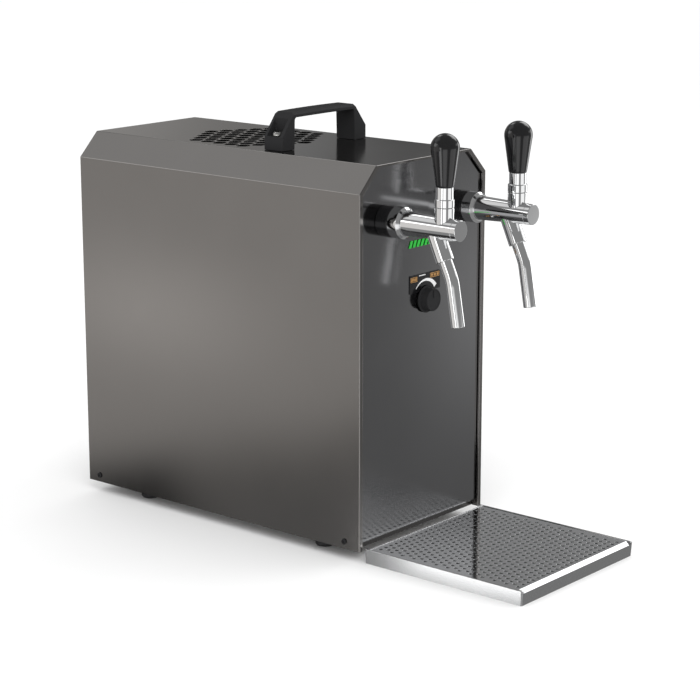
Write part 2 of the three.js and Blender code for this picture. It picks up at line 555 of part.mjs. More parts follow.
// ---------------------------------------------------------------- rear fittings
function rearFittings(group) {
  const back = REAR.front + REAR.sheet;
  const mouth = CASE.length + INLET.reach;
  for (const [side, x] of [['left', INLET.left], ['right', INLET.right]]) {
    const inner = REAR.front - INLET.depth;
    add(group, `beer_inlet_${side}`, turned('y', [[INLET.bore, inner], [6, inner], [6, back + GAP],
      [10, back + GAP], [10, back + 9], [8, back + 10], [8, mouth - 4], [6.6, mouth - 4], [6.6, mouth],
      [INLET.bore, mouth], [INLET.bore, inner]], [x, INLET.z], 14), mattBlack);
  }
  add(group, 'power_inlet', powerInlet(back), glossBlack);

  const bezel = fittingShell(ROCKER, back, 14);
  add(group, 'switch_bezel', cut(bezel, box(ROCKER.x - 8.4, ROCKER.x + 8.4, back - 12, back + 4,
    ROCKER.z - 6, ROCKER.z + 6)), glossBlack);
  add(group, 'switch_rocker', rockerCap(back), mattBlack);
}

/** The snap-in shell of a rear fitting: a flange outside the panel and a box through it. */
function fittingShell({ x, z, halfX, halfZ, flange }, back, depth) {
  return join(
    box(x - halfX - flange, x + halfX + flange, back + GAP, back + flange + GAP,
      z - halfZ - flange, z + halfZ + flange),
    box(x - halfX, x + halfX, back - depth, back + 1, z - halfZ, z + halfZ));
}

/** The mains inlet with its three pins. */
function powerInlet(back) {
  const { x, z } = SOCKET;
  const well = box(x - 12, x + 12, back - 15, back + 4, z - 8.5, z + 8.5);
  const pins = [[-7, 0], [0, 2.5], [7, 0]].map(([across, up]) =>
    box(x + across - 1, x + across + 1, back - 16, back - 5, z + up - 2, z + up + 2));
  return join(cut(fittingShell(SOCKET, back, 20), well), ...pins);
}

/** The rocker's bent cap, tilted to its rest position. */
function rockerCap(back) {
  const { x, z, rest, width } = ROCKER;
  const section = new THREE.Shape(vectors([[-4.6, -5], [4.6, -5], [5, 1.4], [0, 2.2], [-5, 1.4]]));
  const upright = new THREE.Matrix4().makeBasis(new THREE.Vector3(0, 0, 1), new THREE.Vector3(0, 1, 0),
    new THREE.Vector3(-1, 0, 0));
  return solid(new THREE.ExtrudeGeometry(section, { depth: width, bevelEnabled: false })
    .applyMatrix4(upright)
    .rotateX(THREE.MathUtils.degToRad(-rest))
    .translate(x + width / 2, back + 1, z));
}

// ---------------------------------------------------------------- assembly
const cooler = new THREE.Group();
cooler.position.y = FRONT_Y;
housing(cooler);
frontPanel(cooler);
rearPanel(cooler);
carryHandle(cooler);
thermostat(cooler);
dripTray(cooler);
coolingParts(cooler);
fan(cooler);
rearFittings(cooler);
for (const [side, x] of [['left', -TAP.x], ['right', TAP.x]]) {
  const group = new THREE.Group();
  group.position.x = x;
  tap(group, side);
  cooler.add(group);
}

export default cooler;
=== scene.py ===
"""A countertop beer cooler with two taps: the looks of every piece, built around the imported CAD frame.

Sizes are millimetres. x = 0 is the cooler's middle, y = 0 the casing's front edge and z = 0 the counter;
place() turns such a point into the frame's metres.
"""

import json
from math import acos, asin, atan2, ceil, cos, degrees, pi, radians, sin, sqrt, tan, tau

import bmesh
import bpy
from mathutils import Matrix, Quaternion, Vector


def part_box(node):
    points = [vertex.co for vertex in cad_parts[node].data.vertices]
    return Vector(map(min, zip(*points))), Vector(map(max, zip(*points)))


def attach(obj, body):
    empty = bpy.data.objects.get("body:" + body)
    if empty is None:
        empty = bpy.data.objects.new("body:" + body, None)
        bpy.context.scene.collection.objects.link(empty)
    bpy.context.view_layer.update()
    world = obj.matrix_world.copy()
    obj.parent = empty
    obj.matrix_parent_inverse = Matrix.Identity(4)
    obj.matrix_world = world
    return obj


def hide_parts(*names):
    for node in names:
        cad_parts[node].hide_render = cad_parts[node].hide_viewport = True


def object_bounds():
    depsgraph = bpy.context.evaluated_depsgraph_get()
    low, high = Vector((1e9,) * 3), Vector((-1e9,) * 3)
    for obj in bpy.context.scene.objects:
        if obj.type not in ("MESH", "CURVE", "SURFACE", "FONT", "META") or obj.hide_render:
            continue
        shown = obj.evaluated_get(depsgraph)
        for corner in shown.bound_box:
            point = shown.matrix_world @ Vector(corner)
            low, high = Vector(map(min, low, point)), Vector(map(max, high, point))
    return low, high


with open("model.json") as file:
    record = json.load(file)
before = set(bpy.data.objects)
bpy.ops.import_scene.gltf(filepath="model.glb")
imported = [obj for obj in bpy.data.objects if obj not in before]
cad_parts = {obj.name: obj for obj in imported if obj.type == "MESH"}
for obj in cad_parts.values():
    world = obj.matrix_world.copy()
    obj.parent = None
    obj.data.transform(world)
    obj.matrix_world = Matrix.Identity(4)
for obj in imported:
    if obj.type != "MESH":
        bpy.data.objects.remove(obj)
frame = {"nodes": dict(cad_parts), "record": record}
CAD_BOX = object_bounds()

MM = 0.001
FRONT_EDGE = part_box("outer_casing")[0].y


def place(point):
    """A point in this file's millimetres, as metres in the row frame."""
    return Vector((point[0] * MM, point[1] * MM + FRONT_EDGE, point[2] * MM))


def node_box(node):
    """Lowest and highest corner of a CAD node in this file's millimetres."""
    shift = Vector((0, FRONT_EDGE, 0))
    return tuple((corner - shift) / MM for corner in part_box(node))


def node_middle(node):
    low, high = node_box(node)
    return (low + high) / 2


# ---------- driving values
CASE_LOW, CASE_HIGH = node_box("outer_casing")
CASE_HALF = CASE_HIGH.x
CASE_TOP = CASE_HIGH.z
CHAMFER = 25
SHEET = 1.2
HEM = 5
HEM_TOP = 2.5  # the hem is narrower under the top
HEM_DEPTH = 8
FOLD = 1.2  # outer radius of the casing's folds
SIDE_SCREW_HOLE = 2
HANDLE_HOLE = 3.4

VENT_Y = node_middle("fan_rotor").y
VENT_RINGS = 4
VENT_PITCH = 16.4
VENT_HOLE = 14

PANEL_LOW, PANEL_HIGH = node_box("front_panel")
PANEL_SLOT = 1.2  # gap between the panel and the casing's hem
REAR_FACE = node_box("rear_panel")[1].y

TAP_Z = node_middle("tap_ring_left").z
TAP_X = node_middle("tap_ring_right").x
LEVER_Y = node_middle("tap_knob_right").y
LEVER_PIVOT = TAP_Z + 12.3
DOME = 12.4  # radius of the bonnet's dome, round the lever's pivot
BODY_ROOT = 12.0  # the tap body's radius at its ring
BODY_TIP = 10.1
SPOUT_ROOT = -57.2
SPOUT_LEAN = radians(24)
SPOUT_BEND = Vector((0, -79.3, 289.7))
SPOUT_TIP = Vector((0, -87.1, 245.1))

DIAL_X = node_middle("thermostat_knob").x
DIAL_Z = node_middle("thermostat_knob").z

SIDES = ("left", "right")
ENDS = ("front", "rear")
GAP = 0.3  # clearance between pieces that touch
PAST = 5  # how far a cutter reaches past a sheet

VIEW_AZIMUTH = radians(-50.0)
VIEW_ELEVATION = radians(13.6)
VIEW_DISTANCE = 2.171
VIEW_LENS = 108.5
VIEW_AIM = (CAD_BOX[0] + CAD_BOX[1]) / 2 + Vector((0, -0.0105, -0.0316))


# ---------- mesh building
def new_object(name, data, location=(0, 0, 0), facing=None):
    """An object in the scene, turned by a quaternion if one is given."""
    obj = bpy.data.objects.new(name, data)
    obj.location = location
    if facing is not None:
        obj.rotation_mode = "QUATERNION"
        obj.rotation_quaternion = facing
    bpy.context.scene.collection.objects.link(obj)
    return obj


def mesh_object(name, points, faces):
    """A mesh from points in this file's millimetres, with its normals facing out."""
    mesh = bpy.data.meshes.new(name)
    mesh.from_pydata([place(p) for p in points], [], faces)
    edit = bmesh.new()
    edit.from_mesh(mesh)
    bmesh.ops.recalc_face_normals(edit, faces=edit.faces)
    edit.to_mesh(mesh)
    edit.free()
    return new_object(name, mesh)


def rounded(points, closed, step=radians(12)):
    """A flat path whose corners (a, b, radius) become arcs."""
    path = []
    for i, (a, b, *radius) in enumerate(points):
        corner = Vector((a, b))
        is_end = not closed and i in (0, len(points) - 1)
        if not radius or radius[0] <= 0 or is_end:
            path.append(corner)
            continue
        before = Vector(points[i - 1][:2]) - corner
        after = Vector(points[(i + 1) % len(points)][:2]) - corner
        half = before.angle(after) / 2
        reach = min(radius[0] / tan(half), 0.49 * min(before.length, after.length))
        middle = corner + (before.normalized() + after.normalized()).normalized() * reach / cos(half)
        start = corner + before.normalized() * reach - middle
        end = corner + after.normalized() * reach - middle
        turn = atan2(start.x * end.y - start.y * end.x, start.dot(end))
        steps = max(2, ceil(abs(turn) / step))
        for k in range(steps + 1):
            path.append(middle + Matrix.Rotation(turn * k / steps, 2) @ start)
    return path


def arc(middle, radius, start, end, steps):
    """Points of a flat arc; angles in degrees."""
    angles = [radians(start + (end - start) * k / steps) for k in range(steps + 1)]
    return [(middle[0] + radius * cos(t), middle[1] + radius * sin(t)) for t in angles]


def circle(radius, sides):
    angles = [tau * k / sides for k in range(sides)]
    return [(radius * cos(t), radius * sin(t)) for t in angles]


def grid_faces(rows, columns, wrap_rows, wrap_columns):
    """Quads between the rows of a grid of points."""
    faces = []
    for i in range(rows if wrap_rows else rows - 1):
        here, below = i * columns, (i + 1) % rows * columns
        for j in range(columns if wrap_columns else columns - 1):
            beside = (j + 1) % columns
            faces.append((here + j, here + beside, below + beside, below + j))
    return faces


def turned(name, profile, axis, centre, sides):
    """A piece turned about an axis from (radius, place along the axis, corner radius) points.
    The profile starts and ends on the axis, or closes on itself."""
    on_axis = profile[0][0] < 1e-6
    path = rounded(profile, closed=not on_axis)
    rings = path[1:-1] if on_axis else path
    points = []
    for radius, along in rings:
        points += [on_the_axis(axis, centre, a, b, along) for a, b in circle(radius, sides)]
    faces = grid_faces(len(rings), sides, not on_axis, True)
    if on_axis:
        for end, first in ((path[0], 0), (path[-1], (len(rings) - 1) * sides)):
            pole = len(points)
            points.append(on_the_axis(axis, centre, 0, 0, end.y))
            faces += [(first + k, first + (k + 1) % sides, pole) for k in range(sides)]
    return mesh_object(name, points, faces)


def on_the_axis(axis, centre, a, b, along):
    """A point at (a, b) across an axis through centre, and so far along it."""
    if axis == "x":
        return (along, centre[0] + a, centre[1] + b)
    if axis == "y":
        return (centre[0] + a, along, centre[1] + b)
    return (centre[0] + a, centre[1] + b, along)


def lofted(name, slices):
    """A closed piece through slices, lists of 3-D points with one count."""
    count = len(slices[0])
    points = [p for s in slices for p in s]
    ends = [tuple(range(count)), tuple(range(len(points) - count, len(points)))]
    return mesh_object(name, points, grid_faces(len(slices), count, False, True) + ends)


def extruded(name, outline, low, high, axis="y"):
    """A flat closed outline pulled along an axis."""
    return lofted(name, [[on_the_axis(axis, (0, 0), a, b, end) for a, b in outline] for end in (low, high)])


def block(name, low, high):
    """A rectangular block, to be bevelled or used as a cutter."""
    outline = [(low[0], low[2]), (high[0], low[2]), (high[0], high[2]), (low[0], high[2])]
    return extruded(name, outline, low[1], high[1])


def round_hole(centre, radius, low, high, axis="y"):
    """A 24-sided bar that cuts a round hole."""
    return extruded("hole", arc(centre, radius, 0, 345, 23), low, high, axis)


def corners_of(a0, b0, a1, b1, radius):
    """A rectangle's corners, for rounded()."""
    return [(a0, b0, radius), (a1, b0, radius), (a1, b1, radius), (a0, b1, radius)]


def joined(name, objects):
    """Several meshes as one."""
    edit = bmesh.new()
    for obj in objects:
        edit.from_mesh(obj.data)
        bpy.data.objects.remove(obj)
    mesh = bpy.data.meshes.new(name)
    edit.to_mesh(mesh)
    edit.free()
    return new_object(name, mesh)


def combined(obj, tool, operation="DIFFERENCE"):
    """Cuts obj with a tool mesh, or joins them, and removes the tool."""
    modifier = obj.modifiers.new(operation, "BOOLEAN")
    modifier.operation = operation
    modifier.solver = "EXACT"
    modifier.object = tool
    graph = bpy.context.evaluated_depsgraph_get()
    mesh = bpy.data.meshes.new_from_object(obj.evaluated_get(graph))
    obj.modifiers.clear()
    obj.data = mesh
    bpy.data.objects.remove(tool)
    return obj


def bevelled(obj, width, segments=2, limit=35):
    """Rounds the edges sharper than the limit, in degrees."""
    edit = bmesh.new()
    edit.from_mesh(obj.data)
    bmesh.ops.remove_doubles(edit, verts=edit.verts, dist=1e-7)
    sharp = radians(limit)
    edges = [e for e in edit.edges if len(e.link_faces) == 2 and e.calc_face_angle(0) > sharp]
    bmesh.ops.bevel(edit, geom=edges, offset=width * MM, segments=segments, profile=0.5,
                    affect="EDGES", clamp_overlap=True)
    edit.to_mesh(obj.data)
    edit.free()
    return obj


def finished(obj, slot, node=None, body="cooler", material=None, sharp=38):
    """Shades a piece, paints it with its slot's finish unless another is given, parents it to its body's
    empty and hides the CAD node it replaces.
    """
    obj.data.polygons.foreach_set("use_smooth", [True] * len(obj.data.polygons))
    obj.data.set_sharp_from_angle(angle=radians(sharp))
    weighted = obj.modifiers.new("flat faces", "WEIGHTED_NORMAL")
    weighted.keep_sharp = True
    weighted.weight = 80
    obj.data.materials.clear()
    obj.data.materials.append(material or SLOTS[slot])
    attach(obj, body)
    if node:
        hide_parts(node)


# ---------- materials
def new_material(name):
    material = bpy.data.materials.new(name)
    material.use_nodes = True
    return material, material.node_tree.nodes, material.node_tree.links


def add_node(nodes, kind, **values):
    """A shader node with its input values, named with underscores for spaces."""
    node = nodes.new("ShaderNode" + kind)
    for socket, value in values.items():
        node.inputs[socket.replace("_", " ")].default_value = value
    return node


def noise(nodes, links, scale, stretch=(1, 1, 1)):
    """Noise in the piece's own coordinates, stretched along some axes."""
    coordinates = add_node(nodes, "TexCoord")
    mapping = add_node(nodes, "Mapping", Scale=stretch)
    texture = add_node(nodes, "TexNoise", Scale=scale, Detail=3)
    links.new(coordinates.outputs["Object"], mapping.inputs["Vector"])
    links.new(mapping.outputs["Vector"], texture.inputs["Vector"])
    return texture.outputs["Fac"]


def spread(nodes, links, value, low, high):
    """Maps a noise value from its usual range to low..high."""
    node = add_node(nodes, "MapRange", From_Min=0.3, From_Max=0.7, To_Min=low, To_Max=high)
    links.new(value, node.inputs["Value"])
    return node.outputs["Result"]


def finish_of(name, color, metallic, roughness, rough_spread, tint, *, grain, bump, bump_depth=0.00005,
              stretch=(1, 1, 1), coat=0.0, coat_roughness=0.05, specular=0.5, ior=1.5):
    """A procedural finish: uneven colour and roughness in large patches, and a fine grain in the surface."""
    material, nodes, links = new_material(name)
    shader = nodes["Principled BSDF"]
    for socket, value in (("Metallic", metallic), ("Specular IOR Level", specular), ("IOR", ior),
                          ("Coat Weight", coat), ("Coat Roughness", coat_roughness)):
        shader.inputs[socket].default_value = value

    patches = noise(nodes, links, PATCH_SCALE)
    mix = add_node(nodes, "Mix")
    mix.data_type = "RGBA"
    mix.inputs["A"].default_value = (*[c * (1 - tint) for c in color], 1)
    mix.inputs["B"].default_value = (*[min(1, c * (1 + tint)) for c in color], 1)
    links.new(patches, mix.inputs["Factor"])
    links.new(mix.outputs["Result"], shader.inputs["Base Color"])

    fine = noise(nodes, links, grain, stretch)
    both = add_node(nodes, "Math")
    both.operation = "ADD"
    half = rough_spread / 2
    links.new(spread(nodes, links, patches, -half, half), both.inputs[0])
    links.new(spread(nodes, links, fine, roughness - half, roughness + half), both.inputs[1])
    links.new(both.outputs["Value"], shader.inputs["Roughness"])

    relief = add_node(nodes, "Bump", Strength=bump, Distance=bump_depth)
    links.new(fine, relief.inputs["Height"])
    links.new(relief.outputs["Normal"], shader.inputs["Normal"])
    return material


PATCH_SCALE = 9  # patches of about a tenth of a metre
BRUSHED_UP = (1, 1, 0.02)
BRUSHED_ACROSS = (0.02, 1, 1)
SLOTS = {
    "casing_steel": finish_of("casing steel", (0.265, 0.255, 0.247), 1, 0.14, 0.03, 0.06, grain=1500,
                              stretch=BRUSHED_UP, bump=0.03),
    "panel_steel": finish_of("panel steel", (0.27, 0.27, 0.275), 1, 0.12, 0.02, 0.06, grain=1500,
                             stretch=BRUSHED_UP, bump=0.02),
    "zinc_steel": finish_of("zinc plated steel", (0.62, 0.62, 0.6), 1, 0.33, 0.1, 0.12, grain=900,
                            bump=0.1),
    "chrome": finish_of("chrome", (0.88, 0.885, 0.89), 1, 0.05, 0.02, 0.02, grain=200, bump=0.008),
    "stainless": finish_of("satin stainless steel", (0.66, 0.665, 0.67), 1, 0.17, 0.05, 0.04, grain=1600,
                           stretch=BRUSHED_ACROSS, bump=0.05),
    "aluminium": finish_of("aluminium", (0.6, 0.6, 0.61), 1, 0.4, 0.1, 0.08, grain=1200, bump=0.08),
    "enamel_black": finish_of("black enamel", (0.02, 0.02, 0.021), 0, 0.32, 0.1, 0.1, grain=700, bump=0.08,
                              coat=0.3),
    "gloss_black": finish_of("gloss black", (0.006, 0.006, 0.0065), 0, 0.13, 0.03, 0.1, grain=250,
                             bump=0.01, coat=0.2, coat_roughness=0.06),
    "matt_black": finish_of("moulded black plastic", (0.024, 0.024, 0.025), 0, 0.55, 0.08, 0.12, grain=2200,
                            bump=0.3, bump_depth=0.0001, specular=0.2, ior=1.2),
    "rubber_black": finish_of("black rubber", (0.014, 0.014, 0.015), 0, 0.7, 0.12, 0.15, grain=1500,
                              bump=0.3),
    "foam": finish_of("rigid foam", (0.74, 0.7, 0.6), 0, 0.9, 0.08, 0.1, grain=700, bump=0.5,
                      bump_depth=0.0004),
    "badge_green": finish_of("green print", (0.01, 0.52, 0.035), 0, 0.35, 0.05, 0.08, grain=900, bump=0.05),
}
MIRROR_STEEL = finish_of("polished stainless steel", (0.82, 0.83, 0.84), 1, 0.1, 0.04, 0.04, grain=500,
                         bump=0.03)
PRINT_WHITE = finish_of("white print", (0.86, 0.86, 0.86), 0, 0.45, 0.05, 0.03, grain=900, bump=0.05)
PRINT_AMBER = finish_of("amber print", (0.42, 0.21, 0.05), 0, 0.45, 0.05, 0.12, grain=900, bump=0.05)


# ---------- fasteners
def cross_headed(name, profile, axis, centre, face, outwards, recess):
    """A turned screw with a cross recess of a given radius in its outer face."""
    screw = turned(name, profile, axis, centre, 48)
    arm = recess * 0.24
    deep = recess * 0.7
    ends = sorted((face + outwards, face - outwards * deep))
    for a, b in ((recess, arm), (arm, recess)):
        outline = [(centre[0] - a, centre[1] - b), (centre[0] + a, centre[1] - b),
                   (centre[0] + a, centre[1] + b), (centre[0] - a, centre[1] + b)]
        combined(screw, extruded("recess", outline, *ends, axis=axis))
    return screw


# ---------- housing
def case_outline(inset, floor):
    """The casing's section, moved in by an inset, with rounded folds."""
    side = CASE_HALF - inset
    beyond = max(inset - SHEET, 0) / (HEM - SHEET)
    top = CASE_TOP - min(inset, SHEET) - beyond * (HEM_TOP - SHEET)
    slope = CASE_HALF + CASE_TOP - CHAMFER - inset * sqrt(2)
    fold = max(FOLD - inset, 0.4)
    right = [(side, floor), (side, slope - side, fold), (slope - top, top, fold)]
    left = [(-x, z, *r) for x, z, *r in reversed(right)]
    return rounded(right + left, closed=False, step=radians(8))


def vent_centres():
    for column in range(-VENT_RINGS, VENT_RINGS + 1):
        holes = 2 * VENT_RINGS + 1 - abs(column)
        for i in range(holes):
            yield column * VENT_PITCH * sqrt(3) / 2, VENT_Y + (i - (holes - 1) / 2) * VENT_PITCH


def outer_casing():
    """The folded sheet, hemmed at the front, with its vent and its screw holes."""
    length = CASE_HIGH.y
    section = rounded([(0, length, 0.2), (0, 0, 0.7), (HEM, 0, 0.4), (HEM, HEM_DEPTH, 0.3),
                       (SHEET, HEM_DEPTH, 0.2), (SHEET, length, 0.2)], closed=True)
    rows = [[(x, y, z) for x, z in case_outline(inset, CASE_LOW.z)] for inset, y in section]
    count = len(rows[0])
    faces = grid_faces(len(rows), count, True, False)
    for end in (0, count - 1):
        faces.append(tuple(i * count + end for i in range(len(rows))))
    shell = mesh_object("casing_shell", [p for row in rows for p in row], faces)

    hexagon = arc((0, 0), VENT_HOLE / sqrt(3), 0, 300, 5)
    under, over = CASE_TOP - PAST, CASE_TOP + PAST
    tools = [extruded("hole", [(x + a, y + b) for a, b in hexagon], under, over, "z")
             for x, y in vent_centres()]
    for side in SIDES:
        bolt = node_middle(f"handle_screw_{side}")
        tools.append(round_hole((bolt.x, bolt.y), HANDLE_HOLE, under, over, "z"))
        for end in ENDS:
            screw = node_middle(f"casing_screw_{end}_{side}")
            tools.append(round_hole((screw.y, screw.z), SIDE_SCREW_HOLE, screw.x - PAST, screw.x + PAST, "x"))
    combined(shell, joined("tools", tools))
    bevelled(shell, 0.15, 2, 50)
    finished(shell, "casing_steel", "outer_casing")


def side_screws():
    shaft, length = 1.4, 6
    head, height, rim, recess = 3.0, 1.4, 0.6, 1.7
    for side, outwards in (("left", -1), ("right", 1)):
        for end in ENDS:
            node = f"casing_screw_{end}_{side}"
            low, high = node_box(node)
            middle = node_middle(node)
            face = high.x if outwards > 0 else low.x
            seat = face - outwards * height
            tip = seat - outwards * length
            profile = [(0, tip), (shaft, tip, 0.3), (shaft, seat), (head, seat, 0.15),
                       (head, seat + outwards * rim, 0.3), (2.2, face, 0.5), (0, face)]
            screw = cross_headed(f"side_screw_{end}_{side}", profile, "x", (middle.y, middle.z), face,
                                 outwards, recess)
            finished(screw, "matt_black", node)


def rubber_feet():
    """Round feet with a groove underneath and a barb through the base pan."""
    shoulder, groove, wall = 11.9, 1.6, 1.2
    neck, neck_top, barb, barb_top = 3.1, 13.9, 4.4, 14.6
    for side in SIDES:
        for end in ENDS:
            node = f"foot_{end}_{side}"
            low, high = node_box(node)
            middle = node_middle(node)
            radius = (high.x - low.x) / 2
            profile = [(0, 0), (3.2, 0, 0.3), (3.6, groove, 0.4), (6.2, groove, 0.4), (6.6, 0, 0.4),
                       (radius - wall, 0, 1.0), (radius, groove, 0.8), (radius - wall, shoulder, 0.8),
                       (neck, shoulder), (neck, neck_top), (barb, barb_top, 0.4), (3, high.z, 0.6),
                       (0, high.z)]
            foot = turned(f"rubber_foot_{end}_{side}", profile, "z", (middle.x, middle.y), 64)
            finished(foot, "rubber_black", node)


# ---------- front
def front_panel():
    """The recessed sheet: its foot is rolled back, and two tap holes and a dial hole go through it."""
    front, back = PANEL_LOW.y, PANEL_LOW.y + SHEET
    foot, ceiling = PANEL_LOW.z, PANEL_HIGH.z
    edge = PANEL_HIGH.x
    shoulder = 77.5
    roll, flange, flange_end = 1.8, 12, 4
    shank_hole, dial_hole = 8.6, 4.5
    hem_slope = CASE_HALF + CASE_TOP - CHAMFER - HEM * sqrt(2)
    slot_slope = hem_slope - PANEL_SLOT * sqrt(2)
    tight_slope = hem_slope - GAP * sqrt(2)
    step = (tight_slope - slot_slope) / 2
    half = [(edge, foot + roll), (edge, slot_slope - edge, 1.0), (shoulder, slot_slope - shoulder),
            (shoulder + step, slot_slope - shoulder + step), (tight_slope - ceiling, ceiling)]
    outline = half + [(-x, z, *r) for x, z, *r in reversed(half)]
    panel = extruded("panel_sheet", rounded(outline, closed=True), front, back)
    holes = [round_hole((x, TAP_Z), shank_hole, front - 3, back + PAST) for x in (-TAP_X, TAP_X)]
    holes.append(round_hole((DIAL_X, DIAL_Z), dial_hole, front - 3, back + PAST))
    combined(panel, joined("tools", holes))
    bevelled(panel, 0.25, 2, 50)

    bend = arc((front + roll, foot + roll), roll, 180, 270, 8)
    inner = arc((front + roll, foot + roll), roll - SHEET, 270, 180, 8)
    lip_end = back + flange
    lip = extruded("lip", bend + [(lip_end, foot), (lip_end, foot + SHEET)] + inner, -edge, edge, "x")
    flange_top = slot_slope - edge - flange_end
    flanges = [block("flange", (left, back, foot + roll), (left + SHEET, lip_end, flange_top))
               for left in (-edge, edge - SHEET)]
    finished(joined("front_sheet", [panel, lip, *flanges]), "panel_steel", "front_panel")


def badge():
    """A row of slanted strokes in place of the maker's lettering."""
    low, high = node_box("badge")
    strokes, lean, corner, ink_share = 7, 3, 0.3, 0.62
    pitch = (high.x - low.x - lean) / strokes
    pieces = []
    for i in range(strokes):
        left = low.x + i * pitch
        right = left + pitch * ink_share
        outline = [(left, low.z, corner), (right, low.z, corner),
                   (right + lean, high.z, corner), (left + lean, high.z, corner)]
        pieces.append(bevelled(extruded("stroke", rounded(outline, True), low.y, high.y), 0.12, 2, 50))
    finished(joined("badge_strokes", pieces), "badge_green", "badge")


def dial_card():
    """The black card behind the knob, with a scale that widens, a mark and two amber boxes printed on it."""
    low, high = node_box("dial_plate")
    corner, shaft_hole = 1.6, 4.4
    left, right = low.x, high.x
    foot = DIAL_Z + 8
    disc = DIAL_Z - low.z
    disc_turn = degrees(asin((foot - DIAL_Z) / disc))
    outline = rounded([(left, foot), (left, high.z, corner), (right, high.z, corner), (right, foot)], False)
    outline += [Vector(p) for p in arc((DIAL_X, DIAL_Z), disc, disc_turn, -180 - disc_turn, 60)]
    card_sheet = extruded("dial_card", outline, low.y, high.y)
    combined(card_sheet, round_hole((DIAL_X, DIAL_Z), shaft_hole, low.y - 1, high.y + 1))
    finished(bevelled(card_sheet, 0.12, 2, 50), "gloss_black", "dial_plate")

    ink = 0.12
    front, back = low.y - ink, low.y - 0.01
    outer, start, end = 20.8, 143, 38
    thin, thick, steps = 0.5, 4.5, 40
    outline = arc((DIAL_X, DIAL_Z), outer, start, end, steps)
    for k in range(steps, -1, -1):
        share = k / steps
        angle = radians(start + (end - start) * share)
        radius = outer - thin - (thick - thin) * share
        outline.append((DIAL_X + radius * cos(angle), DIAL_Z + radius * sin(angle)))
    marks = [extruded("scale", outline, front, back)]
    marks.append(block("mark", (DIAL_X - 11.5, front, high.z - 1.9), (DIAL_X - 1.5, back, high.z - 1.0)))
    finished(joined("dial_scale", marks), None, material=PRINT_WHITE)

    boxes = []
    line, bars, bar_share, margin = 0.6, 3, 0.72, 1.1
    for x0, x1, z0, z1 in ((left + 1.1, left + 11.4, high.z - 6.8, high.z - 1.8),
                           (right - 16.2, right - 1.4, high.z - 5.9, high.z - 1.2)):
        outer_box = block("box", (x0, front, z0), (x1, back, z1))
        window = block("window", (x0 + line, front - 1, z0 + line), (x1 - line, back + 1, z1 - line))
        boxes.append(combined(outer_box, window))
        width = (x1 - x0 - 2 * line) / bars
        for i in range(bars):
            x = x0 + line + width * (i + (1 - bar_share) / 2)
            boxes.append(block("bar", (x, front, z0 + margin), (x + width * bar_share, back, z1 - margin)))
    finished(joined("dial_boxes", boxes), None, material=PRINT_AMBER)


def thermostat_knob():
    low, high = node_box("thermostat_knob")
    radius = (high.x - low.x) / 2
    face = low.y + 0.5
    dish, rear, shaft = 0.25, 1.8, 3
    skirt, skirt_depth = 1.7, 1.3
    profile = [(0, face + dish), (radius - 2.6, face + dish, 0.2), (radius - 2.3, face, 0.2),
               (radius - 1.0, face, 1.0), (radius - 0.35, face + 6, 3), (radius - 0.2, rear - 1.6, 0.3),
               (radius + skirt, rear - skirt_depth, 0.4), (radius + skirt, rear, 0.3), (shaft, rear),
               (shaft, high.y), (0, high.y)]
    grip = turned("grip", profile, "y", (DIAL_X, DIAL_Z), 120)
    pointer = bevelled(block("pointer", (DIAL_X - 0.8, low.y, DIAL_Z + 2.5),
                             (DIAL_X + 0.8, face + 2, DIAL_Z + radius - 2)), 0.25)
    finished(joined("thermostat_grip", [grip, pointer]), "matt_black", "thermostat_knob", "thermostat_dial")


# ---------- carrying handle
def carry_handle():
    """A lofted bar on two legs, with a pocket for a screw in each leg."""
    low, high = node_box("carry_handle")
    base = low.z
    foot, leg = high.x, 47
    kink, top = base + 14, base + 37
    bar, camber, wall = 5, 0.5, 3.6
    rim, rim_inset = 2.4, 0.6  # chamfer along the grip's front and rear edges
    slope = (foot - leg) / (top - kink)

    def section(drop, inset):
        crown = top - drop
        half = [(leg, base), (foot - inset, base), (foot - inset, kink, 1.5),
                (leg + drop * slope - inset, crown, 1.2)]
        outside = rounded([*half, (0, crown + camber)], False)[1:-1]
        outside += [Vector((x, crown + camber * (1 - (x / leg) ** 2))) for x in (30, 15, 0)]
        inside = rounded([(0, top - bar + 0.2), (leg - 1, top - bar, 3.0), (leg, base)], False)
        right = [Vector((leg, base))] + outside
        mirrored = [Vector((-p.x, p.y)) for p in right[-2::-1] + inside[-2:0:-1]]
        return right + mirrored + inside[:-1]

    stations = ((low.y, rim, rim_inset), (low.y + rim, 0, 0), (high.y - rim, 0, 0), (high.y, rim, rim_inset))
    slices = [[(x, y, z) for x, z in section(drop, inset)] for y, drop, inset in stations]
    handle = lofted("grip_handle", slices)

    pocket = [(leg + wall, kink), (foot + PAST, kink), (foot + PAST, top), (leg + wall + 1, top - 5.5)]
    for side, sign in (("left", -1), ("right", 1)):
        tool = extruded("pocket", [(sign * x, z) for x, z in pocket], low.y + wall, high.y - wall)
        combined(handle, bevelled(tool, 0.9, 3, 30))
        bolt = node_middle(f"handle_screw_{side}")
        combined(handle, round_hole((bolt.x, bolt.y), HANDLE_HOLE, base - 1, kink + 1, "z"))
    bevelled(handle, 0.45, 3, 30)
    finished(handle, "matt_black", "carry_handle")


def handle_bolts():
    shaft, recess = 3, 2.6
    head, height, rim = 5.4, 3.6, 1.6
    for side in SIDES:
        node = f"handle_screw_{side}"
        low, high = node_box(node)
        middle = node_middle(node)
        seat = high.z - height
        profile = [(0, low.z), (shaft, low.z, 0.5), (shaft, seat), (head, seat, 0.2), (head, seat + rim, 0.5),
                   (4.2, high.z, 1.2), (0, high.z)]
        bolt = cross_headed(f"handle_bolt_{side}", profile, "z", (middle.x, middle.y), high.z, 1, recess)
        finished(bolt, "zinc_steel", node)


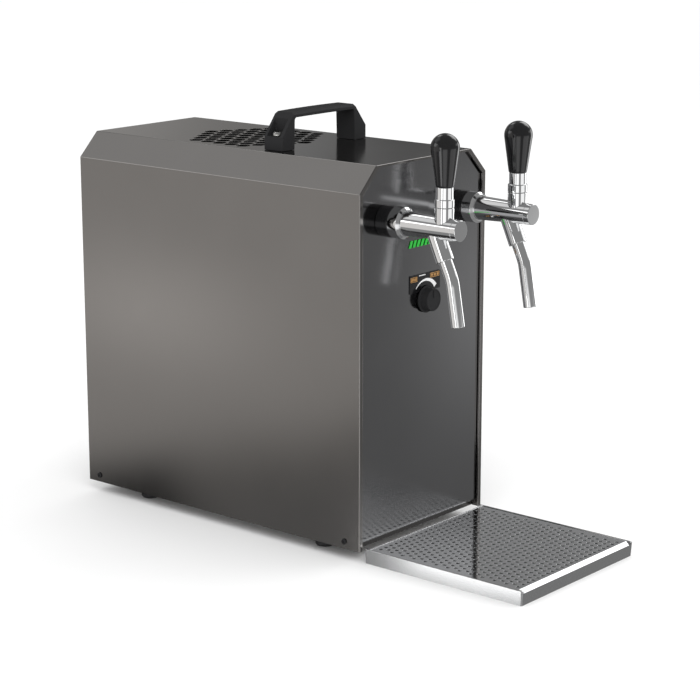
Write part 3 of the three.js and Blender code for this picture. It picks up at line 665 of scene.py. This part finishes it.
# ---------- taps
def spout_point(distance):
    """A place on the spout's upper axis, in the tap's own plane."""
    return Vector((0, SPOUT_ROOT - distance * sin(SPOUT_LEAN), TAP_Z - distance * cos(SPOUT_LEAN)))


def swept_round(name, x, stations):
    """A round piece along a line in a plane of constant x. Stations are (centre, direction, radius)."""
    sides = 72
    points = []
    for centre, direction, radius in stations:
        middle = centre + Vector((x, 0, 0))
        across = Vector((0, -direction.z, direction.y)).normalized()
        points += [middle + Vector((a, 0, 0)) + across * b for a, b in circle(radius, sides)]
    return mesh_object(name, points, grid_faces(len(stations), sides, True, True))


def spout_path(start):
    """Centres and directions along the spout tube: straight, a tight bend, straight."""
    leg, steps = 6.5, 12
    before = (SPOUT_BEND - start).normalized()
    after = (SPOUT_TIP - SPOUT_BEND).normalized()
    bend_start, bend_end = SPOUT_BEND - before * leg, SPOUT_BEND + after * leg
    path = [(start, before), (bend_start, before)]
    for k in range(1, steps):
        share = k / steps
        near = bend_start.lerp(SPOUT_BEND, share)
        far = SPOUT_BEND.lerp(bend_end, share)
        path.append((near.lerp(far, share), before.lerp(after, share).normalized()))
    return path + [(bend_end, after), (SPOUT_TIP, after)]


def spout(side, x):
    """The sleeve under the tap body, and the bent tube that comes out of it."""
    sleeve, sleeve_top, sleeve_end = 9.0, 2, 33.9
    tube, bore, tube_start = 6.6, 5.2, 18.5
    down = (spout_point(1) - spout_point(0)).normalized()
    profile = rounded([(tube + GAP, sleeve_top), (sleeve, sleeve_top), (sleeve, sleeve_end, 0.7),
                       (tube + GAP, sleeve_end, 0.3)], True)
    stations = [(spout_point(along), down, radius) for radius, along in profile]
    finished(swept_round(f"spout_collar_{side}", x, stations), "chrome", f"spout_sleeve_{side}")

    path = spout_path(spout_point(tube_start))
    lip = (tube - bore) / 2
    tip, direction = path.pop()
    outside = [(centre, d, tube) for centre, d in path]
    rim = [(tip - direction * lip * (1 - sin(t)), direction, tube - lip + lip * cos(t))
           for t in (pi * k / 8 for k in range(9))]
    inside = [(centre, d, bore) for centre, d in reversed(path)]
    finished(swept_round(f"spout_pipe_{side}", x, outside + rim + inside), "chrome", f"spout_tube_{side}")


def tap_sleeves(side, x):
    """The black collar at the panel and the chrome ring in front of it."""
    centre = (x, TAP_Z)
    low, high = node_box(f"tap_collar_{side}")
    radius = (high.x - low.x) / 2
    bore = 8.4
    profile = [(bore, low.y), (radius - 1.6, low.y, 0.3), (radius, low.y + 0.5, 0.5), (radius, high.y, 0.3),
               (bore, high.y)]
    finished(turned(f"collar_{side}", profile, "y", centre, 128), "gloss_black", f"tap_collar_{side}")

    low, high = node_box(f"tap_ring_{side}")
    mouth, bore, wall = BODY_ROOT + 0.2, 13, 3
    profile = [(mouth, low.y, 0.15), (radius - 2.4, low.y, 0.3), (radius, low.y + 2.3, 0.35),
               (radius, high.y, 0.5), (bore, high.y), (bore, low.y + wall), (mouth, low.y + wall)]
    finished(turned(f"ring_{side}", profile, "y", centre, 128), "chrome", f"tap_ring_{side}")


def tap_body(side, x):
    """A tapered body with a nose cap behind a fine groove, and the bonnet that stands on it."""
    centre = (x, TAP_Z)
    low, high = node_box(f"tap_body_{side}")
    nose = low.y
    ring_front = node_box(f"tap_ring_{side}")[0].y
    cap, groove = nose + 5.5, BODY_TIP - 0.15
    bore, wall, lever_hole = 6, 4, 6.4
    profile = [(0, nose), (BODY_TIP - 0.4, nose, 0.1), (BODY_TIP, nose + 0.4, 0.3),
               (BODY_TIP + 0.15, cap, 0.1), (groove, cap + 0.15, 0.05), (groove, cap + 0.45, 0.05),
               (BODY_TIP + 0.18, cap + 0.6, 0.1),
               (BODY_ROOT, ring_front - 1), (BODY_ROOT, high.y, 0.3), (bore, high.y), (bore, nose + wall),
               (0, nose + wall)]
    body = turned(f"body_{side}", profile, "y", centre, 128)
    drill = [(0, TAP_Z), (lever_hole, TAP_Z), (lever_hole, TAP_Z + 20), (0, TAP_Z + 20)]
    combined(body, turned("lever_hole", drill, "z", (x, LEVER_Y), 48))
    finished(body, "chrome", f"tap_body_{side}")

    low, high = node_box(f"tap_bonnet_{side}")
    radius = (high.x - low.x) / 2
    rim = LEVER_PIVOT + sqrt(DOME**2 - radius**2)
    ball, foot, space = 6.0, TAP_Z + 4, 0.15
    slot_half, slot_front, slot_rear = 3.2, 8.1, 6.5
    dome = arc((0, LEVER_PIVOT), DOME, degrees(acos(radius / DOME)),
               degrees(acos(ball / DOME)), 10)
    profile = [(ball, foot), (radius, foot), (radius, rim - 0.5, 0.5), *dome, (ball, LEVER_PIVOT + 3)]
    bonnet = turned(f"bonnet_{side}", profile, "z", (x, LEVER_Y), 96)
    neighbour = [(0, nose), (BODY_TIP + space, nose), (BODY_ROOT + space, ring_front), (0, ring_front)]
    combined(bonnet, turned("body_space", neighbour, "y", centre, 96))
    combined(bonnet, block("lever_slot", (x - slot_half, LEVER_Y - slot_front, LEVER_PIVOT),
                           (x + slot_half, LEVER_Y + slot_rear, LEVER_PIVOT + 20)))
    finished(bonnet, "chrome", f"tap_bonnet_{side}")


def tap_lever(side, x):
    """The lever's ball, ferrule and stem in one turned piece, and the black knob on it."""
    low, high = node_box(f"tap_lever_{side}")
    seat, ball = DOME + GAP, 5.7
    ferrule, stem, neck, tail = 9.55, 8.4, 2.8, 1.5
    knob_foot, socket, socket_depth = 9.05, 4.3, 22
    ferrule_top, stem_top = TAP_Z + 28.6, TAP_Z + 40.1
    underside = arc((0, LEVER_PIVOT), seat, degrees(acos(neck / seat)),
                    degrees(acos((ferrule - 0.2) / seat)), 10)
    profile = [(0, low.z), (tail, low.z, 0.3), *arc((0, LEVER_PIVOT), ball, -74, 60, 14), *underside,
               (ferrule, underside[-1][1] + 0.4, 0.3), (ferrule, ferrule_top, 0.7), (stem, ferrule_top, 0.25),
               (stem, stem_top, 0.4), (4, stem_top), (4, high.z), (0, high.z)]
    lever = turned(f"lever_stem_{side}", profile, "z", (x, LEVER_Y), 96)
    finished(lever, "chrome", f"tap_lever_{side}", f"lever_{side}")

    low, high = node_box(f"tap_knob_{side}")
    widest = (high.x - low.x) / 2
    middle = Vector((0, high.z - widest))
    start = Vector((knob_foot, low.z))
    lean = asin(widest / (middle - start).length) - atan2(knob_foot, middle.y - start.y)
    crown = arc(middle, widest, -degrees(lean), 90, 28)
    profile = [(0, low.z + socket_depth), (socket, low.z + socket_depth), (socket, low.z),
               (knob_foot - 0.2, low.z, 0.6), (knob_foot + 0.15, low.z + 1.6, 0.6), *crown[:-1], (0, high.z)]
    knob = turned(f"lever_knob_{side}", profile, "z", (x, LEVER_Y), 128)
    finished(knob, "gloss_black", f"tap_knob_{side}", f"lever_{side}")


# ---------- drip tray
def perforated(name, low, high, pitch, hole, lip):
    """A flat sheet with staggered round holes. Cells share their corner points, so the mesh is closed."""
    (x0, y0, bottom), (x1, y1, top) = low, high
    row_height = pitch * sqrt(3) / 2
    rows = int((y1 - y0 - 2) // row_height)
    columns = int((x1 - x0 - 2) // pitch)
    middle_x, middle_y = (x0 + x1) / 2, (y0 + y1) / 2
    lines = [middle_y + (r - rows / 2) * row_height for r in range(rows + 1)]
    lines[0], lines[-1] = y0, y1

    def row_bounds(row):
        shift = 0.5 * (row % 2)
        bounds = [middle_x + (c - columns / 2 + shift) * pitch for c in range(columns + 1 - row % 2)]
        bounds[0], bounds[-1] = x0, x1
        return bounds

    points, index, faces = [], {}, []

    def corner(x, y, z):
        key = (round(x, 4), round(y, 4), round(z, 4))
        if key not in index:
            index[key] = len(points)
            points.append(key)
        return index[key]

    def line_points(line, left, right):
        stops = set()
        for row in (line - 1, line):
            if 0 <= row < rows:
                stops.update(round(x, 4) for x in row_bounds(row))
        return sorted(x for x in stops if left - 1e-3 <= x <= right + 1e-3)

    sides = 16
    for row in range(rows):
        bounds = row_bounds(row)
        hole_y = middle_y + (row + 0.5 - rows / 2) * row_height
        for column, (left, right) in enumerate(zip(bounds, bounds[1:])):
            hole_x = middle_x + (column + 0.5 - columns / 2 + 0.5 * (row % 2)) * pitch
            circles = []
            for radius, z in ((hole + lip, top), (hole, top - lip), (hole, bottom)):
                circles.append(range(len(points), len(points) + sides))
                points += [(hole_x + a, hole_y + b, z) for a, b in circle(radius, sides)]
            for upper, lower in zip(circles, circles[1:]):
                for k in range(sides):
                    beside = (k + 1) % sides
                    faces.append((upper[k], upper[beside], lower[beside], lower[k]))
            for z, ring in ((top, circles[0]), (bottom, circles[-1])):
                near = [corner(x, lines[row], z) for x in line_points(row, left, right)]
                far = [corner(x, lines[row + 1], z) for x in line_points(row + 1, left, right)]
                half = sides // 2
                faces.append((*near, ring[0], *ring[:half - 1:-1]))
                faces.append((*far[::-1], *ring[half::-1]))
                faces.append((near[0], ring[half], far[0]))
                faces.append((near[-1], far[-1], ring[0]))
    rims = []
    for line, y in ((0, y0), (rows, y1)):
        stops = line_points(line, x0, x1)
        rims += [((a, y), (b, y)) for a, b in zip(stops, stops[1:])]
    for x in (x0, x1):
        rims += [((x, a), (x, b)) for a, b in zip(lines, lines[1:])]
    for a, b in rims:
        faces.append((corner(*a, bottom), corner(*b, bottom), corner(*b, top), corner(*a, top)))
    return mesh_object(name, points, faces)


def rectangle(low, high, inset_x, inset_y, radius, z):
    """A rounded rectangle in the counter's plane, at height z."""
    corners = corners_of(low.x + inset_x, low.y + inset_y, high.x - inset_x, high.y - inset_y, radius)
    return [(x, y, z) for x, y in rounded(corners, True, radians(15))]


def drip_tray():
    """A folded pan with thin side rims, and wide front and rear rims that slope down outwards."""
    low, high = node_box("drip_pan")
    wall, ledge, floor, corner = 1.5, 3.5, 1.2, 3
    lip, drop = 6, 2.6
    ledge_top = high.z - 2.2
    section = rounded([(0, 0, 0.8), (0, high.z, 0.5), (wall, high.z, 0.35), (wall, ledge_top, 0.2),
                       (ledge, ledge_top, 0.4), (ledge, floor, 1.0)], closed=False)
    section[0] = Vector((0.9, 0))
    slices = []
    for inset, z in section:
        if inset >= wall:
            across = lip + inset - wall
        else:
            across = inset if z < high.z / 2 else inset * lip / wall
        slices.append(rectangle(low, high, inset, across, max(1.2 - inset * 0.2, 0.5), z))
    pan = lofted("tray_pan", slices)
    for edge, outwards in ((low.y, -1), (high.y, 1)):
        inner, outer, over = edge - outwards * lip, edge + outwards, high.z + 2
        wedge = [(outer, high.z - drop * (lip + 1) / lip), (outer, over), (inner, over), (inner, high.z)]
        combined(pan, extruded("wedge", wedge, low.x + corner, high.x - corner, "x"))
    bevelled(pan, 0.2, 2, 40)
    finished(pan, "stainless", "drip_pan", "drip_tray")

    low, high = node_box("drip_grid")
    grid = perforated("tray_grid", low, high, pitch=8.0, hole=1.8, lip=0.25)
    finished(grid, "stainless", "drip_grid", "drip_grate", MIRROR_STEEL, sharp=30)


# ---------- fan
def fan_wheel():
    """A capped hub with swept, twisted blades."""
    low, high = node_box("fan_rotor")
    hub, tip, blades, thick = 20.0, 55.5, 7, 0.7
    stations, samples = 10, 8
    level = (low.z + high.z) / 2 + 1
    profile = [(0, low.z), (2, low.z), (2, low.z + 3), (hub - 1, low.z + 3, 0.5), (hub, high.z - 1.5, 1.4),
               (0, high.z)]
    parts = [turned("hub", profile, "z", (0, VENT_Y), 72)]
    for blade in range(blades):
        slices = []
        for i in range(stations + 1):
            share = i / stations
            radius = hub - 1 + (tip - hub + 1) * share
            chord = 20 + 12 * share
            pitch = radians(46 - 16 * share)
            sweep = tau * blade / blades + 0.35 * share**1.5
            ring = []
            for sign in (1, -1):
                for k in range(samples + 1):
                    across = (k / samples - 0.5) * sign
                    bow = (0.25 - across**2) * 0.16 * chord
                    flat = across * chord * cos(pitch) - bow * sin(pitch)
                    up = across * chord * sin(pitch) + bow * cos(pitch)
                    up += sign * thick * (1 - 3 * across**2)
                    angle = sweep + flat / radius
                    ring.append((radius * cos(angle), VENT_Y + radius * sin(angle), level + up))
            slices.append(ring)
        parts.append(lofted("blade", slices))
    finished(joined("fan_blades", parts), "matt_black", "fan_rotor", "fan_wheel")


# ---------- rear
def rear_panel():
    """The rear sheet with its intake slots and the openings for what goes through it."""
    low, high = node_box("rear_panel")
    front, back = low.y - 1, high.y + 1
    panel = extruded("back_sheet", case_outline(SHEET + GAP, low.z), low.y, high.y)
    rows, pitch, length, height, end_radius, foot = 7, 10, 72, 4, 1.9, 190
    tools = []
    for row in range(rows):
        z = foot + row * pitch
        for x in (-44, 44):
            slot = corners_of(x - length / 2, z, x + length / 2, z + height, end_radius)
            tools.append(extruded("slot", rounded(slot, True), front, back))
    for side in SIDES:
        middle = node_middle(f"beer_inlet_{side}")
        tools.append(round_hole((middle.x, middle.z), 6.4, front, back))
    for node, half_x, half_z in (("power_inlet", 14, 10.5), ("switch_bezel", 10, 7.5)):
        middle = node_middle(node)
        tools.append(block("window", (middle.x - half_x, front, middle.z - half_z),
                           (middle.x + half_x, back, middle.z + half_z)))
    combined(panel, joined("tools", tools))
    finished(bevelled(panel, 0.2, 2, 50), "casing_steel", "rear_panel")


def beer_inlets():
    """Push fittings with a flange, a barrel and a release ring."""
    bore, barrel, neck, ring, flange = 4.2, 8.2, 6.2, 7.4, 10
    seat = REAR_FACE + GAP
    for side in SIDES:
        node = f"beer_inlet_{side}"
        low, high = node_box(node)
        middle = node_middle(node)
        profile = [(bore, low.y), (6, low.y, 0.4), (6, seat), (flange, seat, 0.3), (flange, seat + 7.5, 0.5),
                   (barrel, seat + 9.2, 0.8), (barrel, high.y - 5, 0.8), (neck, high.y - 5, 0.3),
                   (neck, high.y - 2.2, 0.2), (ring, high.y - 2.0, 0.3), (ring, high.y, 0.5),
                   (bore, high.y, 0.6)]
        fitting = turned(f"push_inlet_{side}", profile, "y", (middle.x, middle.z), 72)
        finished(fitting, "matt_black", node)


def rear_socket(name, node, corner, bevel, half_x, half_z, mouth, depth):
    """A rounded flange on the rear sheet, with a box behind it and a mouth cut into both."""
    low, high = node_box(node)
    middle = node_middle(node)
    plate = corners_of(low.x, low.z, high.x, high.z, corner)
    flange = bevelled(extruded(name, rounded(plate, True), REAR_FACE + GAP, high.y), bevel, 3, 50)
    shell = block("shell", (middle.x - half_x, low.y, middle.z - half_z),
                  (middle.x + half_x, REAR_FACE + 0.4, middle.z + half_z))
    combined(flange, shell, "UNION")
    outline = rounded([(middle.x + a, middle.z + b, *r) for a, b, *r in mouth], True)
    combined(flange, extruded("mouth", outline, REAR_FACE - depth, high.y + 1))
    finished(flange, "gloss_black", node)


def power_inlet():
    depth, pin_end = 15, 4
    mouth = [(-12, -8.5, 1), (12, -8.5, 1), (12, 4, 1), (8, 8.5, 1), (-8, 8.5, 1), (-12, 4, 1)]
    rear_socket("flange", "power_inlet", 3.0, 0.5, 13.7, 10.2, mouth, depth)
    middle = node_middle("power_inlet")
    pins = []
    for offset, raised in ((-7, 0), (0, 2.5), (7, 0)):
        x, z = middle.x + offset, middle.z + raised
        pin = block("pin", (x - 1, REAR_FACE - depth - 0.1, z - 2), (x + 1, REAR_FACE - pin_end, z + 2))
        pins.append(bevelled(pin, 0.5, 3))
    finished(joined("inlet_pins", pins), "zinc_steel")


def power_switch():
    """The switch's frame, and its rocker tilted to rest."""
    mouth = [(-8.4, -6), (8.4, -6), (8.4, 6), (-8.4, 6)]
    rear_socket("switch_frame", "switch_bezel", 1.5, 0.6, 9.7, 7.2, mouth, 12)
    middle = node_middle("switch_bezel")
    half_width, rest = 7.8, radians(-9)
    turn = Matrix.Rotation(rest, 2)
    outline = []
    for a, b in rounded([(-4.6, -5, 0.6), (4.6, -5, 0.6), (5, 1.4, 0.6), (0, 1.9, 4), (-5, 1.4, 0.6)], True):
        across = turn @ Vector((b, a))
        outline.append((REAR_FACE + 1 + across.x, middle.z + across.y))
    rocker = extruded("rocker_cap", outline, middle.x - half_width, middle.x + half_width, "x")
    finished(bevelled(rocker, 0.4, 3, 40), "matt_black", "switch_rocker", "power_rocker")


# ---------- CAD nodes that stay
def kept_nodes():
    """Hidden structure keeps its CAD mesh; it takes the finish of the record's slot."""
    slots = {row["node"]: row["material_slot"] for row in frame["record"]["subparts"]}
    for node, obj in frame["nodes"].items():
        if obj.hide_render:
            continue
        material = SLOTS[slots[node]]
        if not obj.material_slots:
            obj.data.materials.append(material)
        for slot in obj.material_slots:
            slot.material = material
        edges = obj.modifiers.new("edges", "BEVEL")
        edges.width = 0.15 * MM
        edges.limit_method = "ANGLE"
        edges.angle_limit = radians(50)


# ---------- studio
DOME_LEVEL = 0.24  # what polished surfaces mirror where no card stands


def emission(name, strength, color=(1, 1, 1)):
    material, nodes, links = new_material(name)
    nodes.remove(nodes["Principled BSDF"])
    light = add_node(nodes, "Emission", Color=(*color, 1), Strength=strength)
    links.new(light.outputs["Emission"], nodes["Material Output"].inputs["Surface"])
    return material, nodes, links, light


def feathered(name, strength, color, surround, feather):
    """An emission that falls to its surround's strength over the feathered share of each half."""
    material, nodes, links, light = emission(name, strength, color)
    coordinates = add_node(nodes, "TexCoord")
    axes = add_node(nodes, "SeparateXYZ")
    links.new(coordinates.outputs["Object"], axes.inputs["Vector"])
    product = add_node(nodes, "Math")
    product.operation = "MULTIPLY"
    for i, axis in enumerate(("X", "Y")):
        size = add_node(nodes, "Math")
        size.operation = "ABSOLUTE"
        links.new(axes.outputs[axis], size.inputs[0])
        fall = add_node(nodes, "MapRange", From_Min=1, From_Max=1 - feather)
        fall.interpolation_type = "SMOOTHSTEP"
        links.new(size.outputs["Value"], fall.inputs["Value"])
        links.new(fall.outputs["Result"], product.inputs[i])
    level = add_node(nodes, "MapRange", To_Min=surround, To_Max=strength)
    links.new(product.outputs["Value"], level.inputs["Value"])
    links.new(level.outputs["Result"], light.inputs["Strength"])
    return material


def reflection_only(obj):
    """Seen in polished surfaces, and by nothing else."""
    obj.visible_camera = obj.visible_diffuse = obj.visible_shadow = obj.visible_transmission = False


def flat_square(name, half):
    mesh = bpy.data.meshes.new(name)
    corners = [(-half, -half, 0), (half, -half, 0), (half, half, 0), (-half, half, 0)]
    mesh.from_pydata(corners, [], [(0, 1, 2, 3)])
    return mesh


def card(name, centre, aim, width, height, strength, surround=DOME_LEVEL, feather=0.3, color=(1, 1, 1),
         roll=0):
    """A flat panel that polished surfaces mirror, with soft edges. Metres, degrees."""
    facing = (Vector(aim) - Vector(centre)).to_track_quat("-Z", "Y")
    facing = facing @ Quaternion((0, 0, 1), radians(roll))
    obj = new_object(name, flat_square(name, 1), centre, facing)
    obj.scale = (width / 2, height / 2, 1)
    obj.data.materials.append(feathered(name, strength, color, surround, feather))
    reflection_only(obj)


def backdrop():
    """A white world and a pale floor that the camera sees, and a grey dome that only reflections see."""
    scene = bpy.context.scene
    scene.view_settings.view_transform = "Standard"
    world = bpy.data.worlds.new("studio")
    world.use_nodes = True
    background = world.node_tree.nodes["Background"]
    background.inputs["Color"].default_value = (1, 1, 1, 1)
    background.inputs["Strength"].default_value = 1.12
    scene.world = world

    floor = new_object("floor", flat_square("floor", 40))
    floor.data.materials.append(finish_of("pale floor", (0.93, 0.93, 0.93), 0.0, 0.9, 0.05, 0.01, grain=30,
                                          bump=0.0, specular=0.1))
    floor.visible_glossy = False

    dome = bpy.data.meshes.new("dome")
    edit = bmesh.new()
    bmesh.ops.create_icosphere(edit, subdivisions=4, radius=8)
    edit.to_mesh(dome)
    edit.free()
    dome.materials.append(emission("dome", DOME_LEVEL)[0])
    reflection_only(new_object("dome", dome))


def cards():
    """What the steel mirrors, in metres. The steel's side shows side_wall, its top the boxes behind."""
    warm = (1, 0.975, 0.95)
    card("side_wall", (-1.9, 1.8, 0.12), (0, 1.8, 0.12), 3.6, 1.64, 0.66, feather=0.22, color=warm, roll=17)
    card("side_glow", (-1.87, 2.0, -0.34), (0, 2.0, -0.34), 1.1, 0.4, 1.05, 0.66, 1.0, warm)
    card("tray_side", (-0.6, 0.14, -0.215), (0, 0.14, -0.215), 0.24, 0.16, 3.0, feather=0.05)
    card("shoulder_box", (-0.7, 1.8, 2.4), (0, 0, 0.35), 1.9, 1.9, 0.68)
    card("back_box", (1.2, 2.2, 0.9), (1.2, 0, 0.9), 2.2, 1.2, 0.37, feather=0.6, color=warm)
    card("back_flag", (3.1, 2.25, 0.86), (3.1, 0, 0.86), 1.5, 0.7, 0.08, feather=0.9)
    card("rear_left_box", (-1.65, 1.5, 1.15), (0, 0, 0.34), 1.8, 1.0, 1.9, feather=0.4)
    card("over_box", (0.75, 1.5, 2.1), (0, 0, 0.34), 0.8, 0.9, 1.9, feather=0.3)
    card("high_box", (1.86, 0.0, 1.75), (0, -0.1, 0.3), 1.6, 1.4, 2.6, feather=0.2)
    card("near_box", (-1.5, -1.25, -0.25), (0, 0, 0.3), 1.7, 1.5, 1.25, feather=0.6)
    card("front_box", (0.55, -2.0, -0.3), (0.3, 0, 0.2), 2.1, 1.4, 1.0, feather=0.25)
    card("low_flag", (-0.45, 0.94, -0.75), (0, 0, 0.34), 1.0, 1.2, 0.03, feather=0.1)
    card("near_left_box", (-2.2, -0.1, 0.0), (0, 0, 0.3), 0.8, 1.6, 2.4, feather=0.15)
    card("right_box", (2.2, -0.6, 0.2), (0, 0, 0.2), 0.9, 1.6, 2.4, feather=0.15)
    card("front_glow", (2.05, -1.5, -0.25), (2.05, 0, -0.25), 0.8, 0.9, 0.6, feather=1.0)
    card("front_high", (1.9, -1.6, 1.03), (0, 0, 0.1), 1.0, 0.5, 1.15, feather=0.4)


def lamps():
    middle = Vector((0, 0, 0.2))
    for name, spot, power in (("key", (-1.5, -1.2, 1.9), 16), ("fill", (1.8, -1.0, 1.3), 7)):
        data = bpy.data.lights.new(name, "AREA")
        data.size = 1.4
        data.energy = power
        lamp = new_object(name, data, spot, (middle - Vector(spot)).to_track_quat("-Z", "Y"))
        lamp.visible_glossy = False


def camera():
    level = cos(VIEW_ELEVATION)
    back = Vector((sin(VIEW_AZIMUTH) * level, -cos(VIEW_AZIMUTH) * level, sin(VIEW_ELEVATION)))
    data = bpy.data.cameras.new("camera")
    data.lens = VIEW_LENS
    data.clip_start, data.clip_end = 0.1, 100
    eye = new_object("camera", data, VIEW_AIM + back * VIEW_DISTANCE, (-back).to_track_quat("-Z", "Y"))
    bpy.context.scene.camera = eye


# ---------- assembly
camera()
backdrop()
cards()
lamps()
outer_casing()
side_screws()
rubber_feet()
front_panel()
badge()
dial_card()
thermostat_knob()
carry_handle()
handle_bolts()
for tap_side, tap_x in (("left", -TAP_X), ("right", TAP_X)):
    tap_sleeves(tap_side, tap_x)
    tap_body(tap_side, tap_x)
    spout(tap_side, tap_x)
    tap_lever(tap_side, tap_x)
drip_tray()
fan_wheel()
rear_panel()
beer_inlets()
power_inlet()
power_switch()
kept_nodes()
